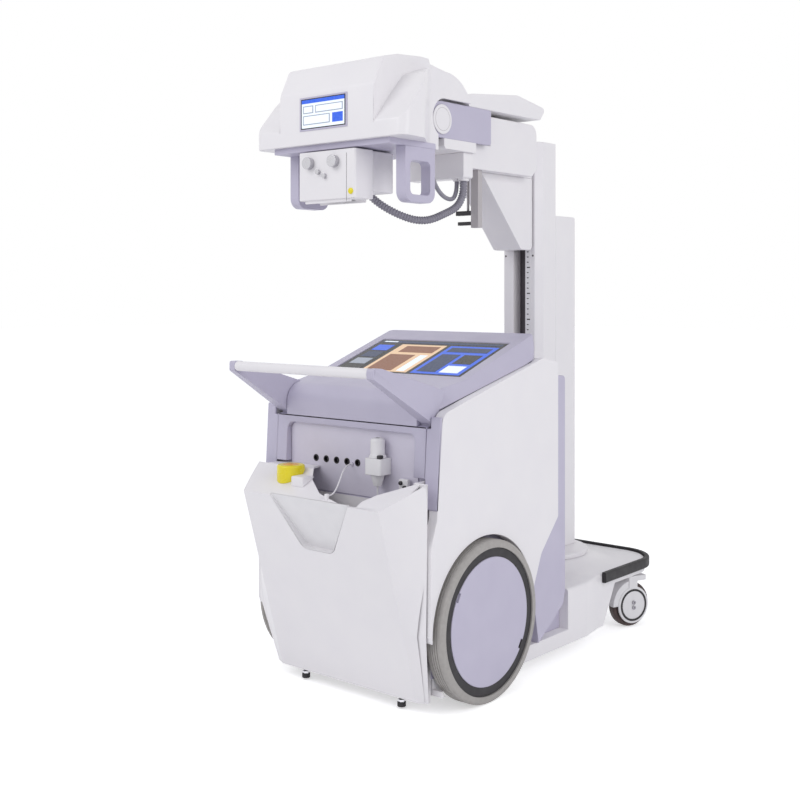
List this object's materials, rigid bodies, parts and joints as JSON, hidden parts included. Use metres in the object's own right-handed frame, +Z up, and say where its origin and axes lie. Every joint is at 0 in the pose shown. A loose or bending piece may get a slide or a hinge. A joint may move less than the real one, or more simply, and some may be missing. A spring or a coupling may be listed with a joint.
{
  "type": "mobile x-ray machine",
  "caption": "Battery driven x-ray cart with swivelling column, lifting carriage, sliding arm, tilting tube head, detector bin, push handle and monitor.",
  "frame": {"origin": "centre of the machine on the floor, halfway along its length and across its width", "axes": "+X to the right of the machine, +Y from the push handle to the front casters, +Z up"},
  "size_m": [0.7, 1.481, 1.8],
  "materials": {
    "white_plastic": "satin moulded plastic",
    "lilac_plastic": "satin moulded plastic",
    "tyre": "matt rubber",
    "rubber": "matt rubber",
    "steel": "satin metal",
    "black_plastic": "matt plastic",
    "screen": "gloss screen",
    "yellow_plastic": "gloss plastic",
    "cable_grey": "matt cable jacket"
  },
  "bodies": {
    "cart": {"base_cover": "white_plastic", "bin_grip": "white_plastic", "bumper": "rubber", "console_frame": "lilac_plastic", "core_body": "lilac_plastic", "detector_bin": "white_plastic", "drive_axle": "steel", "foot_pads": "rubber", "hand_switch": "white_plastic", "handle_arm_left": "lilac_plastic", "handle_arm_right": "lilac_plastic", "handle_bar": "white_plastic", "knob_post": "white_plastic", "monitor": "screen", "rear_strip_left": "lilac_plastic", "rear_strip_right": "lilac_plastic", "side_panel_left": "white_plastic", "side_panel_right": "white_plastic", "socket_panel": "lilac_plastic", "sockets": "black_plastic", "switch_cord": "cable_grey", "switch_holder": "lilac_plastic", "tether_cord": "cable_grey", "yellow_knob": "yellow_plastic"},
    "drive_wheel_left": {"drive_tyre_left": "tyre", "drive_rim_left": "rubber", "drive_disc_left": "lilac_plastic"},
    "drive_wheel_right": {"drive_tyre_right": "tyre", "drive_rim_right": "rubber", "drive_disc_right": "lilac_plastic"},
    "caster_swivel_left": {"caster_fork_left": "white_plastic"},
    "caster_swivel_right": {"caster_fork_right": "white_plastic"},
    "caster_roll_left": {"caster_wheel_left": "tyre"},
    "caster_roll_right": {"caster_wheel_right": "tyre"},
    "column": {"turntable": "white_plastic", "column_mast": "white_plastic", "column_rear_cover": "white_plastic", "column_scale": "steel"},
    "carriage": {"carriage_block": "white_plastic", "carriage_cover": "white_plastic", "park_latch": "black_plastic"},
    "arm": {"arm_beam": "steel", "arm_plate_left": "lilac_plastic", "arm_plate_right": "lilac_plastic", "arm_housing": "white_plastic", "arm_canopy": "white_plastic", "pivot_caps": "white_plastic", "hose_box": "white_plastic", "hose_main": "cable_grey", "hose_second": "cable_grey"},
    "head": {"hood_shell": "white_plastic", "head_trunnion": "steel", "head_screen": "screen", "tube_housing": "lilac_plastic", "head_handle_left": "lilac_plastic", "head_handle_right": "lilac_plastic"},
    "collimator": {"collimator": "white_plastic", "collimator_back": "white_plastic", "collimator_knobs": "black_plastic"}
  },
  "joints": [
    {"name": "drive_wheel_right_spin", "type": "hinge", "parent": "cart", "child": "drive_wheel_right", "pos_m": [0.322, -0.3305, 0.225], "axis": [1, 0, 0], "continuous": true},
    {"name": "drive_wheel_left_spin", "type": "hinge", "parent": "cart", "child": "drive_wheel_left", "pos_m": [-0.322, -0.3305, 0.225], "axis": [1, 0, 0], "continuous": true},
    {"name": "caster_swivel_right", "type": "hinge", "parent": "cart", "child": "caster_swivel_right", "pos_m": [0.28, 0.6195, 0.178], "axis": [0, 0, 1], "continuous": true},
    {"name": "caster_swivel_left", "type": "hinge", "parent": "cart", "child": "caster_swivel_left", "pos_m": [-0.28, 0.6195, 0.178], "axis": [0, 0, 1], "continuous": true},
    {"name": "caster_roll_right", "type": "hinge", "parent": "caster_swivel_right", "child": "caster_roll_right", "pos_m": [0.26546, 0.58439, 0.075], "axis": [0.9239, -0.3827, 0], "continuous": true},
    {"name": "caster_roll_left", "type": "hinge", "parent": "caster_swivel_left", "child": "caster_roll_left", "pos_m": [-0.2879, 0.58233, 0.075], "axis": [0.9781, -0.2079, 0], "continuous": true},
    {"name": "column_swivel", "type": "hinge", "parent": "cart", "child": "column", "pos_m": [0, 0.4295, 0.25], "axis": [0, 0, 1], "range_deg": [-180, 180]},
    {"name": "carriage_lift", "type": "slide", "parent": "column", "child": "carriage", "axis": [0, 0, -1], "range_m": [0, 0.28]},
    {"name": "arm_reach", "type": "slide", "parent": "carriage", "child": "arm", "axis": [0, -1, 0], "range_m": [0, 0.25]},
    {"name": "head_tilt", "type": "hinge", "parent": "arm", "child": "head", "pos_m": [0, -0.2675, 1.648], "axis": [-1, 0, 0], "range_deg": [-15, 60], "deforming": ["hose_main", "hose_second"]},
    {"name": "collimator_turn", "type": "hinge", "parent": "head", "child": "collimator", "pos_m": [0, -0.5305, 1.5], "axis": [0, 0, 1], "range_deg": [-45, 45]}
  ]
}
